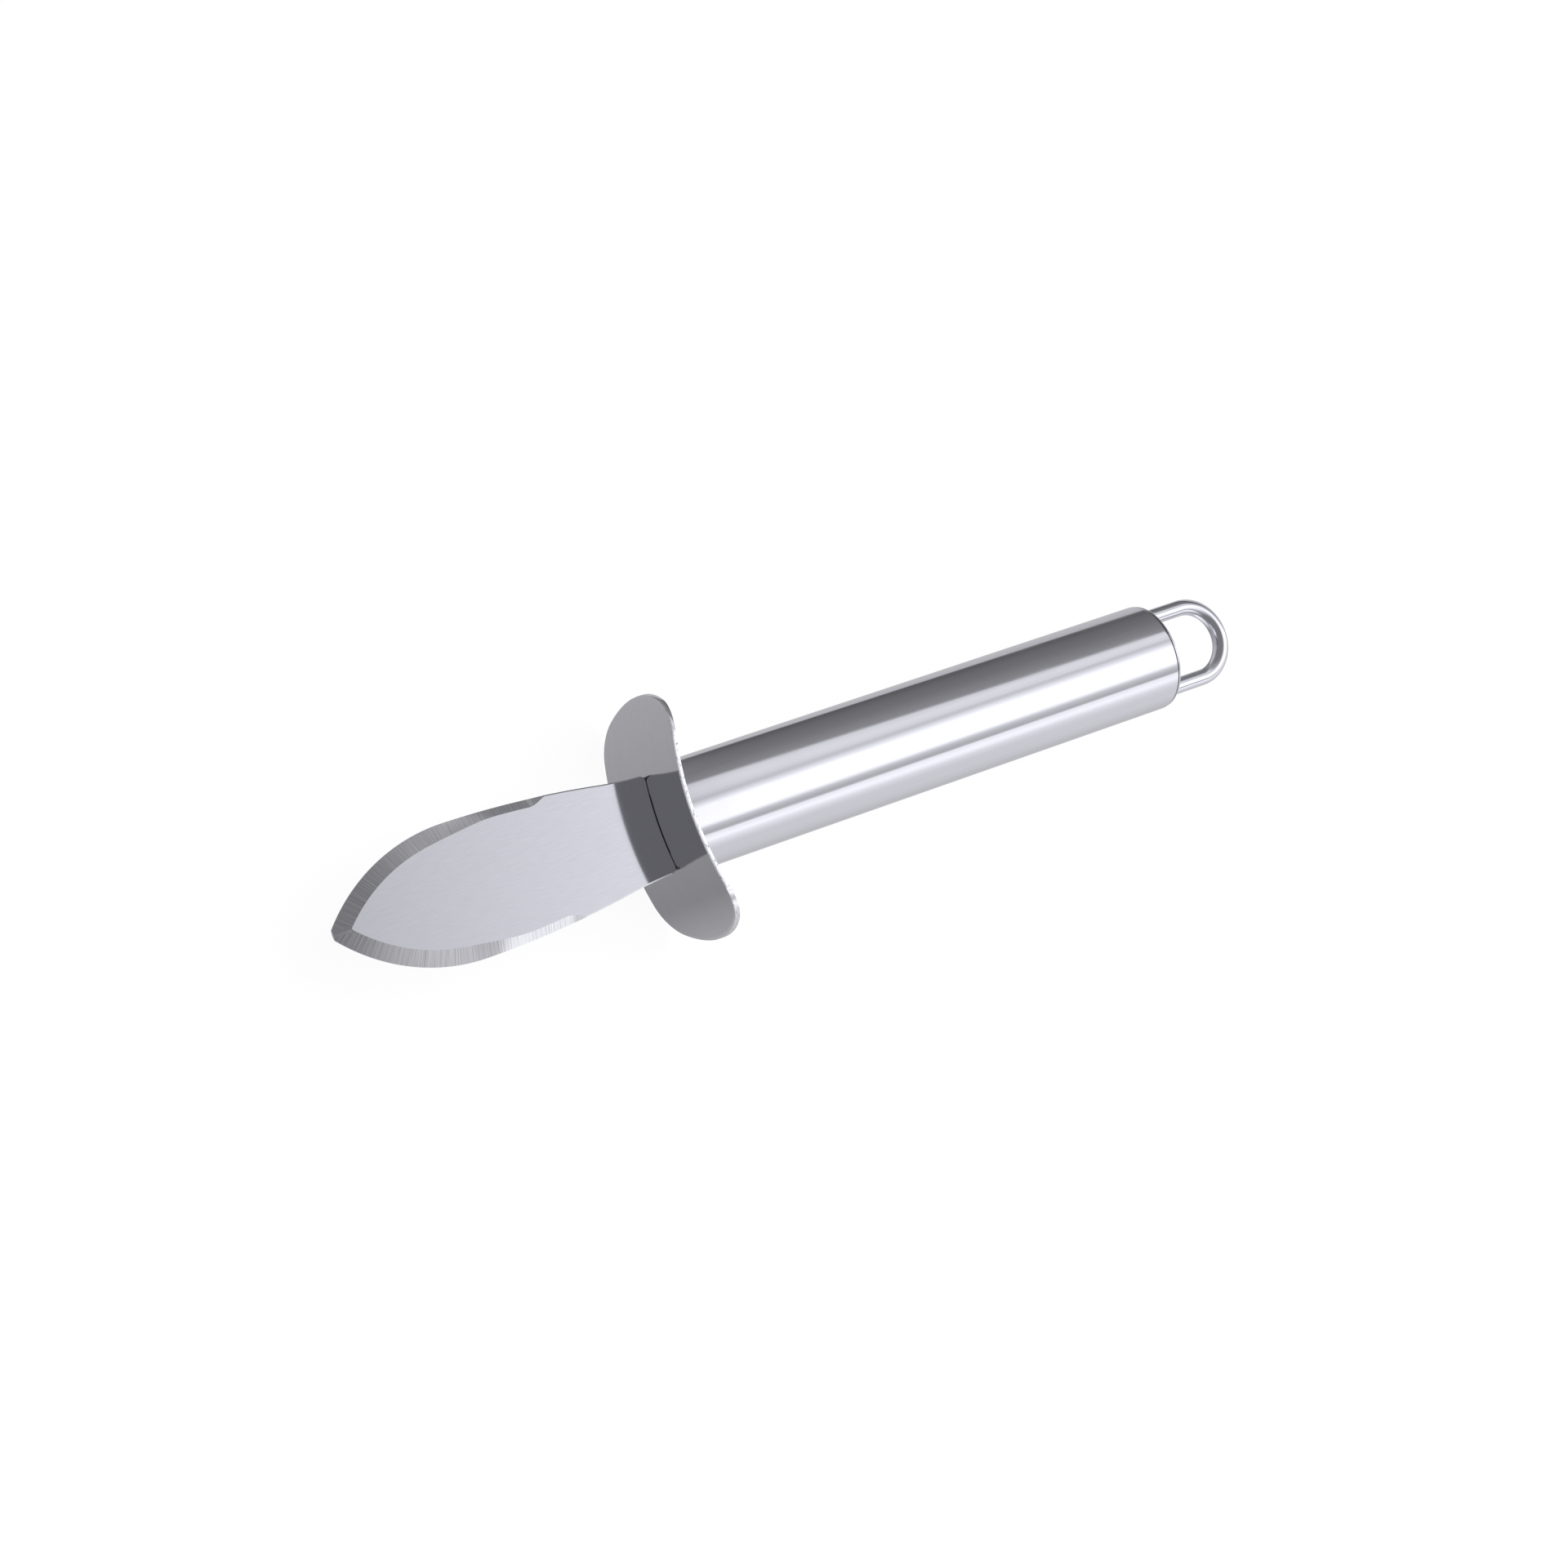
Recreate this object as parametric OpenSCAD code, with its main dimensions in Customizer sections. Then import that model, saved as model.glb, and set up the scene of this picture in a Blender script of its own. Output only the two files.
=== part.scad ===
// Oyster knife, all stainless steel, lying with its guard standing on the surface.
// +X runs along the knife from the blade's tip to the hanging loop, +Y across the blade's
// width and +Z out of the blade's upper flat. The origin is at mid length, under the axis,
// on the surface that the guard's lower edge stands on.

/* [Blade] */
// Length of the blade, from the guard to the tip
blade_len = 63; // [50:1:80]
// Width of the blade at its widest place
blade_w = 24; // [20:0.5:30]
// Distance from the guard to the widest place
blade_belly = 38; // [30:1:42]
// Width of the neck, where the shoulders meet the guard
neck_w = 16.4; // [13:0.2:19]
// Width of the blunt tip
tip_w = 1.8; // [0.8:0.1:3]
// Thickness of the blade at the flat
blade_t = 2.4; // [1.8:0.1:3]
// Thickness left at the ground edge, which is not sharp
edge_land = 0.3; // [0.2:0.05:0.6]
// Radius of the two shoulder corners
shoulder_r = 1.1; // [0.5:0.1:2]

/* [Blade grind] */
// Width of the ground bevel round the front of the blade
bevel_w = 2.8; // [1.8:0.1:3.6]
// Width of the bevel along the heel
heel_bevel_w = 1.5; // [0.8:0.1:1.8]
// Distance from the guard at which the bevel starts to slim
bevel_wide_at = 43; // [42:0.5:46]
// Distance from the guard at which the bevel has its heel width
bevel_slim_at = 28; // [26:0.5:32]
// Distance from the guard at which the bevel runs out
bevel_end_at = 18.5; // [14:0.5:21]
// Length over which the bevel runs out
runout_len = 4.5; // [3:0.5:5]
// Width of the broken corner along the neck
broken_edge = 0.15; // [0.1:0.05:0.3]

/* [Tang] */
// Length of the tang behind the guard's front face
tang_len = 34; // [22:1:60]
// Width of the tang
tang_w = 11; // [8:0.5:13]
// Thickness of the tang
tang_t = 2.2; // [1.4:0.1:2.3]
// Cut across the two corners at the tang's end
tang_chamfer = 2; // [1:0.5:3]

/* [Guard] */
// Length of the guard, along the blade's width
guard_l = 44.6; // [36:0.2:56]
// Height of the guard
guard_h = 28; // [24:0.5:36]
// Thickness of the guard plate
guard_t = 0.9; // [0.7:0.1:1.5]
// Radius of the guard's corners
guard_corner_r = 7.4; // [4:0.2:10]
// Radius of the guard's two ends, which bulge a little between the corners
guard_end_r = 22; // [20:1:60]
// Radius to which the plate's front face is bent, towards the handle
guard_bend_r = 60; // [45:1:90]

/* [Handle] */
// Outside diameter of the tube
tube_d = 20; // [18:0.5:24]
// Wall of the tube
tube_wall = 1; // [0.8:0.1:1.5]
// Length of the handle, from the guard's front face to the tube's rear end
handle_len = 109; // [85:1:135]
// Chamfer round each end of the tube
tube_chamfer = 0.2; // [0.1:0.05:0.4]
// Thickness of the front collar where the bent guard comes closest to the tube
collar_t = 0.3; // [0.2:0.1:1]
// How much smaller the front collar is than the tube, on the radius
collar_step = 0.25; // [0.2:0.05:0.4]
// Length of the plug that holds the tang
plug_len = 14; // [8:1:16]
// Height of the weld bead behind the plug
bead_h = 1.2; // [0.8:0.1:2]

/* [Rear cap] */
// How far the cap's rim stands behind the tube's end
rim_h = 0.6; // [0.4:0.1:1.5]
// How much smaller the rim is than the tube, on the radius
rim_step = 0.1; // [0:0.05:0.3]
// Radius of the rim's outer edge
rim_r = 0.35; // [0.1:0.05:0.35]
// Depth of the cap's spigot in the tube
spigot_len = 7; // [5:0.5:12]

/* [Hanging loop] */
// Diameter of the wire
wire_d = 3; // [2:0.1:3.4]
// Distance between the two legs, centre to centre
leg_pitch = 13.8; // [11:0.2:14]
// How far the loop reaches behind the tube's end
loop_reach = 19.2; // [15:0.2:26]
// How far each leg's end shows inside the cap
leg_past_cap = 0.8; // [0.5:0.1:1.5]

/* [Clearances] */
// Gap all round the tang in the guard's slot and in the plug
tang_fit = 0.1; // [0.05:0.05:0.2]
// Gap on the radius between the tube's bore and what goes in it
bore_fit = 0.04; // [0.02:0.01:0.1]
// Gap on the radius round each leg in the cap
leg_fit = 0.05; // [0.02:0.01:0.1]
// Gap where one piece seats on another
seat_gap = 0.02; // [0.01:0.01:0.05]

/* [Hidden] */
$fn = 96;

steel = [0.78, 0.78, 0.81];
satin_steel = [0.86, 0.86, 0.90];
dark_steel = [0.45, 0.45, 0.47];
weld_grey = [0.52, 0.50, 0.48];

tube_r = tube_d / 2;
bore_r = tube_r - tube_wall;
plug_r = bore_r - bore_fit;
guard_back_r = guard_bend_r - guard_t;
overall_len = blade_len + handle_len + loop_reach;
// Place of the guard's front face, along X, with the knife's middle at the origin
guard_x = blade_len - overall_len / 2;
axis_z = guard_h / 2;
// How far the guard's front face falls back at a distance y from the axis
function guard_sag(y) = guard_bend_r - sqrt(pow(guard_bend_r, 2) - pow(y, 2));
// The tube's square end stands off the guard's bent back by the front collar
tube_front_x = guard_bend_r - sqrt(pow(guard_back_r, 2) - pow(tube_r, 2)) + collar_t;
// Far enough past a face for a clean cut
over = 1;

// Radius of an arc that leaves a straight line and falls by drop over a run
function arc_r(run, drop) = (run * run + drop * drop) / (2 * drop);
// 0 before a, 1 after b and a smooth step between
function ease(x, a, b) = x <= a ? 0 : x >= b ? 1 : (1 - cos(180 * (x - a) / (b - a))) / 2;

// The blade's outline is two arcs a side, which touch at the widest place
belly_r = arc_r(blade_len - blade_belly, (blade_w - tip_w) / 2);
heel_r = arc_r(blade_belly, (blade_w - neck_w) / 2);
belly_centre_y = blade_w / 2 - belly_r;
heel_centre_y = blade_w / 2 - heel_r;
function outline_y(s) =
    s > blade_belly
    ? belly_centre_y + sqrt(pow(belly_r, 2) - pow(s - blade_belly, 2))
    : heel_centre_y + sqrt(pow(heel_r, 2) - pow(blade_belly - s, 2));
// The shoulder corners take shoulder_r off the outline beside the guard
shoulder_s = -guard_sag(neck_w / 2);
function corner_cut(s) =
    s >= shoulder_s + shoulder_r
    ? 0
    : shoulder_r - sqrt(max(0, pow(shoulder_r, 2) - pow(shoulder_s + shoulder_r - s, 2)));
function edge_y(s) = outline_y(s) - corner_cut(s);

// Rise of the bevel for each millimetre across it
grind = (blade_t - edge_land) / 2 / bevel_w;
// Width of the bevel at a distance s from the guard
function bevel_at(s) =
    max(broken_edge,
        (heel_bevel_w + (bevel_w - heel_bevel_w) * ease(s, bevel_slim_at, bevel_wide_at))
        * ease(s, bevel_end_at, bevel_end_at + runout_len));
// Half width of the flat between the bevels, which ends in a ridge at the tip
ridge_half_w = 0.04;
function flat_y(s) =
    s > bevel_wide_at
    ? max(ridge_half_w,
          belly_centre_y + sqrt(max(0, pow(belly_r - bevel_w, 2) - pow(s - blade_belly, 2))))
    : edge_y(s) - bevel_at(s);
// Half thickness at the middle: the flat, and the ridge where the two bevels meet
function middle_z(s) =
    s > bevel_wide_at
    ? min(blade_t / 2,
          edge_land / 2 + grind * (belly_r - norm([s - blade_belly, belly_centre_y])))
    : blade_t / 2;
// Half thickness at the edge: the land along the ground part, nearly all of it at the neck
function edge_z(s) =
    s > bevel_wide_at
    ? edge_land / 2
    : max(edge_land / 2, blade_t / 2 - max(broken_edge, grind * bevel_at(s)));

// Distances from the guard of the blade's cross-sections, closest where the shape turns
shoulder_steps = 6;
neck_steps = 4;
runout_steps = 8;
heel_steps = 10;
belly_steps = 40;
function steps(a, b, n) = [for (i = [0 : n - 1]) a + (b - a) * i / n];
// The first section lies inside the guard's curve, and the last is the tip
sections = concat(
    steps(shoulder_s, shoulder_s + shoulder_r, shoulder_steps),
    steps(shoulder_s + shoulder_r, bevel_end_at, neck_steps),
    steps(bevel_end_at, bevel_end_at + runout_len, runout_steps),
    steps(bevel_end_at + runout_len, blade_belly, heel_steps),
    steps(blade_belly, blade_len, belly_steps),
    [blade_len]);
// One cross-section: edge, flat, flat, edge, and the same below
function section(s) = [
    [-s, edge_y(s), edge_z(s)],
    [-s, flat_y(s), middle_z(s)],
    [-s, -flat_y(s), middle_z(s)],
    [-s, -edge_y(s), edge_z(s)],
    [-s, -edge_y(s), -edge_z(s)],
    [-s, -flat_y(s), -middle_z(s)],
    [-s, flat_y(s), -middle_z(s)],
    [-s, edge_y(s), -edge_z(s)]];
corners = 8;

// Skin through equal cross-sections, closed by the first and the last
module loft(rings) {
    last = len(rings) - 1;
    sides = [
        for (i = [0 : last - 1], j = [0 : corners - 1])
            let (a = i * corners + j, b = i * corners + (j + 1) % corners)
            each [[a, b, a + corners], [b, b + corners, a + corners]]];
    first_end = [for (j = [corners - 1 : -1 : 0]) j];
    last_end = [for (j = [0 : corners - 1]) last * corners + j];
    polyhedron([for (r = rings) each r], concat(sides, [first_end, last_end]));
}

// Cylinder about the axis that the guard is bent round
module bend_cylinder(r) {
    translate([guard_bend_r, 0, -guard_h])
        cylinder(r = r, h = 2 * guard_h, $fn = 180);
}

// Everything that lies ahead of the guard's back face
module ahead_of_guard_back() {
    difference() {
        translate([-guard_l, -guard_l / 2, -guard_h / 2])
            cube([guard_l + guard_bend_r / 2, guard_l, guard_h]);
        bend_cylinder(guard_back_r - seat_gap);
    }
}

// Bar of the tang's section, grown by gap all round, from x0 to x1
module tang_bar(x0, x1, gap) {
    translate([x0, -tang_w / 2 - gap, -tang_t / 2 - gap])
        cube([x1 - x0, tang_w + 2 * gap, tang_t + 2 * gap]);
}

// Puts a piece made about the knife's axis in its place in the frame
module in_frame() {
    translate([guard_x, 0, axis_z])
        children();
}

// Turns +Z to +X, for pieces that are turned about the knife's axis
module along_x() {
    rotate([0, 90, 0])
        children();
}

module tang() {
    // The tang starts inside the neck, so that the two are one piece of steel
    root = 4;
    translate([0, 0, -tang_t / 2])
        linear_extrude(height = tang_t)
            polygon([
                [-root, -tang_w / 2],
                [tang_len - tang_chamfer, -tang_w / 2],
                [tang_len, -tang_w / 2 + tang_chamfer],
                [tang_len, tang_w / 2 - tang_chamfer],
                [tang_len - tang_chamfer, tang_w / 2],
                [-root, tang_w / 2]]);
}

module blade() {
    color(satin_steel)
        in_frame() {
            difference() {
                loft([for (s = sections) section(s)]);
                bend_cylinder(guard_bend_r + seat_gap);
            }
            tang();
        }
}

// Outline of the guard in the plane across the knife. Each corner's arc runs into the end's
// arc without a break, so the corner's centre lies on the ray where the two arcs touch.
module guard_outline() {
    corner_z = guard_h / 2 - guard_corner_r;
    end_centre_y = guard_l / 2 - guard_end_r;
    end_to_corner = sqrt(pow(guard_end_r - guard_corner_r, 2) - pow(corner_z, 2));
    corner_y = end_centre_y + end_to_corner;
    ray = 2 * guard_end_r * [end_to_corner, corner_z] / (guard_end_r - guard_corner_r);
    square([2 * corner_y, guard_h], center = true);
    for (y = [-corner_y, corner_y], z = [-corner_z, corner_z])
        translate([y, z])
            circle(r = guard_corner_r);
    for (side = [0, 180])
        rotate(side)
            translate([end_centre_y, 0])
                intersection() {
                    circle(r = guard_end_r);
                    polygon([[0, 0], [ray[0], -ray[1]], ray]);
                }
}

module guard() {
    color(dark_steel)
        in_frame()
            difference() {
                intersection() {
                    difference() {
                        bend_cylinder(guard_bend_r);
                        bend_cylinder(guard_back_r);
                    }
                    translate([-over, 0, 0])
                        rotate([90, 0, 90])
                            linear_extrude(height = guard_sag(guard_l / 2) + guard_t + 2 * over)
                                guard_outline();
                }
                tang_bar(-over, guard_t + over, tang_fit);
            }
}

// Plug in the tube's front end, with a collar that fills in between the tube and the guard
module front_plug() {
    color(steel)
        in_frame()
            difference() {
                along_x() {
                    cylinder(r = plug_r, h = plug_len);
                    cylinder(r = tube_r - collar_step, h = tube_front_x - seat_gap);
                }
                ahead_of_guard_back();
                tang_bar(-over, plug_len + over, tang_fit);
            }
}

// Bead that joins the tang to the plug's rear face, laid round the tang
module tang_weld() {
    bead_r = norm([tang_w, tang_t]) / 2 + bead_h;
    color(weld_grey)
        in_frame()
            difference() {
                translate([plug_len + seat_gap, 0, 0])
                    along_x()
                        cylinder(r1 = bead_r, r2 = bead_r - bead_h / 2, h = bead_h);
                tang_bar(plug_len - over, plug_len + bead_h + over, seat_gap);
            }
}

module handle_tube() {
    color(steel)
        in_frame()
            along_x()
                rotate_extrude()
                    polygon([
                        [bore_r, tube_front_x],
                        [tube_r - tube_chamfer, tube_front_x],
                        [tube_r, tube_front_x + tube_chamfer],
                        [tube_r, handle_len - tube_chamfer],
                        [tube_r - tube_chamfer, handle_len],
                        [bore_r, handle_len]]);
}

// Rear cap: a spigot in the tube, and a rim with a rounded edge that seats on its end
cap_rim_r = tube_r - rim_step;
// Half section of the rim, from the axis out, with a round outer corner
module rim_section() {
    translate([0, seat_gap])
        square([cap_rim_r - rim_r, rim_h - seat_gap]);
    translate([0, seat_gap])
        square([cap_rim_r, rim_h - rim_r - seat_gap]);
    intersection() {
        translate([cap_rim_r - rim_r, rim_h - rim_r])
            circle(r = rim_r);
        translate([0, seat_gap])
            square([cap_rim_r + over, rim_h]);
    }
}

module rear_cap() {
    color(steel)
        in_frame()
            difference() {
                translate([handle_len, 0, 0])
                    along_x()
                        rotate_extrude() {
                            translate([0, -spigot_len])
                                square([plug_r, spigot_len + rim_h]);
                            rim_section();
                        }
                for (y = [-leg_pitch / 2, leg_pitch / 2])
                    translate([handle_len - spigot_len - over, y, 0])
                        along_x()
                            cylinder(r = wire_d / 2 + leg_fit, h = spigot_len + rim_h + 2 * over);
            }
}

// Wire bent to a half circle, with two straight legs that go through the cap
bend_x = handle_len + loop_reach - wire_d / 2 - leg_pitch / 2;
leg_start_x = handle_len - spigot_len - leg_past_cap;
module hanging_loop() {
    color(steel)
        in_frame() {
            translate([bend_x, 0, 0])
                rotate([0, 0, -90])
                    rotate_extrude(angle = 180)
                        translate([leg_pitch / 2, 0])
                            circle(d = wire_d, $fn = 48);
            for (y = [-leg_pitch / 2, leg_pitch / 2])
                translate([leg_start_x, y, 0])
                    along_x()
                        cylinder(d = wire_d, h = bend_x - leg_start_x, $fn = 48);
        }
}

// Two beads inside the tube, one round each leg, on the cap's inner face
module loop_welds() {
    weld_w = min(leg_past_cap, bore_r - leg_pitch / 2 - wire_d / 2);
    color(weld_grey)
        in_frame()
            for (y = [-leg_pitch / 2, leg_pitch / 2])
                translate([handle_len - spigot_len - seat_gap, y, 0])
                    rotate([0, -90, 0])
                        difference() {
                            cylinder(r1 = wire_d / 2 + weld_w - bore_fit, r2 = wire_d / 2 + weld_w / 2,
                                     h = leg_past_cap);
                            translate([0, 0, -over])
                                cylinder(r = wire_d / 2 + seat_gap, h = leg_past_cap + 2 * over);
                        }
}

blade();
guard();
front_plug();
tang_weld();
handle_tube();
rear_cap();
hanging_loop();
loop_welds();
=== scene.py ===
import math

import bpy
from mathutils import Matrix, Vector


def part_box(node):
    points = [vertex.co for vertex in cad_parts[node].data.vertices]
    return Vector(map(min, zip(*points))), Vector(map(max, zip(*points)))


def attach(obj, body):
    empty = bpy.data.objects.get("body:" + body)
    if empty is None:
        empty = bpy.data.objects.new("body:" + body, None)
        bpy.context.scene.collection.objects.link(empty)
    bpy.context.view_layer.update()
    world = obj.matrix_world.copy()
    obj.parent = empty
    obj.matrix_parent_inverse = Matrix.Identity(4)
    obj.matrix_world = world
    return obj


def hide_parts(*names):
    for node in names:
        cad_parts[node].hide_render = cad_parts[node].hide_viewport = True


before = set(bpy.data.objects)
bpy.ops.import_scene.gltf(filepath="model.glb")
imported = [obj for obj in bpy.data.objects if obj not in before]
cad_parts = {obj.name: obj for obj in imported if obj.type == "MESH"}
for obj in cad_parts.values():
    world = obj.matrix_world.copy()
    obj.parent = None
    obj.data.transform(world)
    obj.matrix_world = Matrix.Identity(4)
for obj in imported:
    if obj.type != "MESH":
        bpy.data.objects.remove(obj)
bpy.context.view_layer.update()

# Sizes in metres. Those that the frame holds are measured on it.
MM = 0.001
blade_low, blade_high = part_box("blade")
guard_low, guard_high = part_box("guard")
tube_low, tube_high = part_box("handle_tube")
cap_low, cap_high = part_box("rear_cap")
loop_low, loop_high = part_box("hanging_loop")

GUARD_X = guard_low.x
AXIS_Z = (guard_low.z + guard_high.z) / 2

BLADE_LEN = GUARD_X - blade_low.x
BLADE_W = blade_high.y - blade_low.y
BLADE_T = blade_high.z - blade_low.z
BELLY = 38 * MM
NECK_W = 16.4 * MM
NECK_FLARE = 0.7 * MM
FLARE_LEN = 9 * MM
TIP_W = 1.8 * MM
EDGE_LAND = 0.3 * MM
SHOULDER_R = 1.1 * MM
BEVEL_W = 2.8 * MM
HEEL_BEVEL_W = 1.5 * MM
BEVEL_WIDE_AT = 43 * MM
BEVEL_SLIM_AT = 28 * MM
BEVEL_END_AT = 17.7 * MM
RUNOUT_LEN = 4.5 * MM
BROKEN_EDGE = 0.22 * MM
REAR_CORNER = 0.06 * MM
COPE_LEN = 4 * MM

TANG_W = 11 * MM
TANG_T = 2.2 * MM
TANG_CHAMFER = 2 * MM
TANG_FIT = 0.1 * MM

GUARD_L = guard_high.y - guard_low.y
GUARD_H = guard_high.z - guard_low.z
GUARD_T = 0.9 * MM
GUARD_CORNER_R = 7.4 * MM
GUARD_END_R = 22 * MM
GUARD_BEND_R = 60 * MM
GUARD_EDGE_ROUND = 0.14 * MM

TUBE_R = (tube_high.z - tube_low.z) / 2
BORE_R = TUBE_R - 1 * MM
TUBE_ROUND = 0.2 * MM
RIM_R = TUBE_R - 0.1 * MM
RIM_ROUND = 0.35 * MM
RIM_H = 0.6 * MM
SPIGOT_R = BORE_R - 0.04 * MM

WIRE_R = (loop_high.z - loop_low.z) / 2
LEG_Y = loop_high.y - WIRE_R
LEG_FIT = 0.05 * MM
SEAT_GAP = 0.02 * MM

# Flats round the axis on the tube and the cap, and round the wire and its holes
TURNED_STEPS = 192
WIRE_STEPS = 48


# Arithmetic in node trees

def plug(tree, value, socket):
    """Puts a plain number, a colour, a socket or a Number into a node's input."""
    if isinstance(value, Number):
        tree.links.new(value.socket, socket)
    elif isinstance(value, bpy.types.NodeSocket):
        tree.links.new(value, socket)
    else:
        socket.default_value = value


class Number:
    """A number inside a node tree. Plain sums on it add Math nodes to the tree."""

    def __init__(self, tree, socket):
        self.tree = tree
        self.socket = socket

    def do(self, operation, *terms):
        node = self.tree.nodes.new("ShaderNodeMath")
        node.operation = operation
        for socket, term in zip(node.inputs, terms):
            plug(self.tree, term, socket)
        return Number(self.tree, node.outputs[0])

    def __add__(self, other):
        return self.do("ADD", self, other)

    def __radd__(self, other):
        return self.do("ADD", other, self)

    def __sub__(self, other):
        return self.do("SUBTRACT", self, other)

    def __rsub__(self, other):
        return self.do("SUBTRACT", other, self)

    def __mul__(self, other):
        return self.do("MULTIPLY", self, other)

    def __rmul__(self, other):
        return self.do("MULTIPLY", other, self)

    def __truediv__(self, other):
        return self.do("DIVIDE", self, other)

    def __gt__(self, other):
        return self.do("GREATER_THAN", self, other)

    def __lt__(self, other):
        return self.do("LESS_THAN", self, other)

    def least(self, other):
        return self.do("MINIMUM", self, other)

    def most(self, other):
        return self.do("MAXIMUM", self, other)

    def root(self):
        return self.do("SQRT", self.most(0.0))

    def size(self):
        return self.do("ABSOLUTE", self)

    def sign(self):
        return self.do("SIGN", self)

    def whole(self):
        return self.do("ROUND", self)

    def sine(self):
        return self.do("SINE", self)

    def cosine(self):
        return self.do("COSINE", self)

    def angle_to(self, other):
        return self.do("ARCTAN2", self, other)

    def share(self, low, high):
        """0 at low, 1 at high, and held at those outside."""
        return ((self - low) / (high - low)).most(0.0).least(1.0)


def pick(condition, yes, no):
    """yes where the condition is 1, no where it is 0, and a mix between."""
    return condition * yes + (1.0 - condition) * no


def ease(value, low, high):
    """0 before low, 1 after high and a smooth step between."""
    return 0.5 - 0.5 * (value.share(low, high) * math.pi).cosine()


def split(tree, vector):
    """The three numbers of a vector."""
    node = tree.nodes.new("ShaderNodeSeparateXYZ")
    plug(tree, vector, node.inputs[0])
    return [Number(tree, socket) for socket in node.outputs]


def joined(tree, x, y, z):
    """A vector from three numbers."""
    node = tree.nodes.new("ShaderNodeCombineXYZ")
    for value, socket in zip((x, y, z), node.inputs):
        plug(tree, value, socket)
    return node.outputs[0]


# Meshes

def new_piece(name, mesh, replaced=None):
    """Adds a finished mesh to the object: it rides on the one body and stands for a CAD node."""
    piece = bpy.data.objects.new(name, mesh)
    bpy.context.scene.collection.objects.link(piece)
    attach(piece, "root")
    if replaced:
        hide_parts(replaced)
    return piece


def baked(source, name):
    """A plain mesh with an object's modifiers applied. The source object goes."""
    bpy.context.view_layer.update()
    graph = bpy.context.evaluated_depsgraph_get()
    mesh = bpy.data.meshes.new_from_object(source.evaluated_get(graph), depsgraph=graph)
    mesh.name = name
    bpy.data.objects.remove(source)
    return mesh


def working_object(mesh):
    """An object in the scene for a mesh that still has modifiers to take."""
    thing = bpy.data.objects.new("in_work", mesh)
    bpy.context.scene.collection.objects.link(thing)
    return thing


def shaded(mesh, sharp_from):
    """Smooth shading, with edges sharper than an angle in degrees kept crisp."""
    mesh.shade_smooth()
    mesh.set_sharp_from_angle(angle=math.radians(sharp_from))
    return mesh


def mesh_of(name, corners, faces):
    """A mesh from its corners and faces."""
    mesh = bpy.data.meshes.new(name)
    mesh.from_pydata(corners, [], faces)
    mesh.validate()
    mesh.update()
    return mesh


def arc(centre, radius, start, end, steps):
    """Points along an arc in the plane, angles in degrees."""
    angles = [math.radians(start + (end - start) * i / steps) for i in range(steps + 1)]
    return [(centre[0] + radius * math.cos(a), centre[1] + radius * math.sin(a)) for a in angles]


def circle(x, y, radius, steps):
    """Corners of a circle round a line along X, at the axis's height."""
    angles = [2 * math.pi * k / steps for k in range(steps)]
    return [(x, y + radius * math.cos(a), AXIS_Z + radius * math.sin(a)) for a in angles]


def bar(name, corners, count):
    """A closed bar between two outlines of the same number of corners."""
    faces = [list(range(count))[::-1], list(range(count, 2 * count))]
    faces += [[i, (i + 1) % count, (i + 1) % count + count, i + count] for i in range(count)]
    return mesh_of(name, corners, faces)


def turned(name, profile, hollow):
    """Turns a profile of (distance along X, radius) round the knife's axis.

    A hollow profile is a closed loop, and a solid one starts and ends on the axis."""
    corners, faces, rings = [], [], []
    for x, r in profile:
        if r == 0:
            rings.append([len(corners)] * TURNED_STEPS)
            corners.append((x, 0.0, AXIS_Z))
            continue
        rings.append(list(range(len(corners), len(corners) + TURNED_STEPS)))
        corners += circle(x, 0.0, r, TURNED_STEPS)
    pairs = list(zip(rings, rings[1:]))
    if hollow:
        pairs.append((rings[-1], rings[0]))
    for near, far in pairs:
        for k in range(TURNED_STEPS):
            n = (k + 1) % TURNED_STEPS
            ring = [near[k], near[n], far[n], far[k]]
            face = [c for i, c in enumerate(ring) if c != ring[i - 1]]
            faces.append(face)
    return mesh_of(name, corners, faces)


# Geometry node trees

def new_tree(name, inputs):
    """A geometry node tree with named inputs. Returns the tree, its inputs by name and its output node."""
    tree = bpy.data.node_groups.new(name, "GeometryNodeTree")
    tree.interface.new_socket("Geometry", in_out="OUTPUT", socket_type="NodeSocketGeometry")
    kinds = {float: "NodeSocketFloat", int: "NodeSocketInt"}
    for label, value in inputs.items():
        kind = kinds.get(type(value), "NodeSocketMaterial")
        socket = tree.interface.new_socket(label, in_out="INPUT", socket_type=kind)
        if kind != "NodeSocketMaterial":
            socket.default_value = value
    start = tree.nodes.new("NodeGroupInput")
    sockets = {label: start.outputs[label] for label in inputs}
    numbers = {
        label: Number(tree, socket) if not isinstance(inputs[label], bpy.types.Material) else socket
        for label, socket in sockets.items()}
    return tree, numbers, tree.nodes.new("NodeGroupOutput")


def grown(tree, inputs, name):
    """The plain mesh that a geometry node tree makes with these inputs."""
    thing = working_object(bpy.data.meshes.new(name + "_start"))
    modifier = thing.modifiers.new("rule", "NODES")
    modifier.node_group = tree
    for item in tree.interface.items_tree:
        if item.in_out == "INPUT":
            modifier[item.identifier] = inputs[item.name]
    mesh = baked(thing, name)
    if mesh.materials[0] is None:
        mesh.materials.pop(index=0)
    return mesh


def node_of(tree, kind, links=(), **settings):
    """Adds a node, sets its properties, and fills its inputs from (input, value) pairs."""
    node = tree.nodes.new(kind)
    for key, value in settings.items():
        setattr(node, key, value)
    for place, value in links:
        plug(tree, value, node.inputs[place])
    return node


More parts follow.
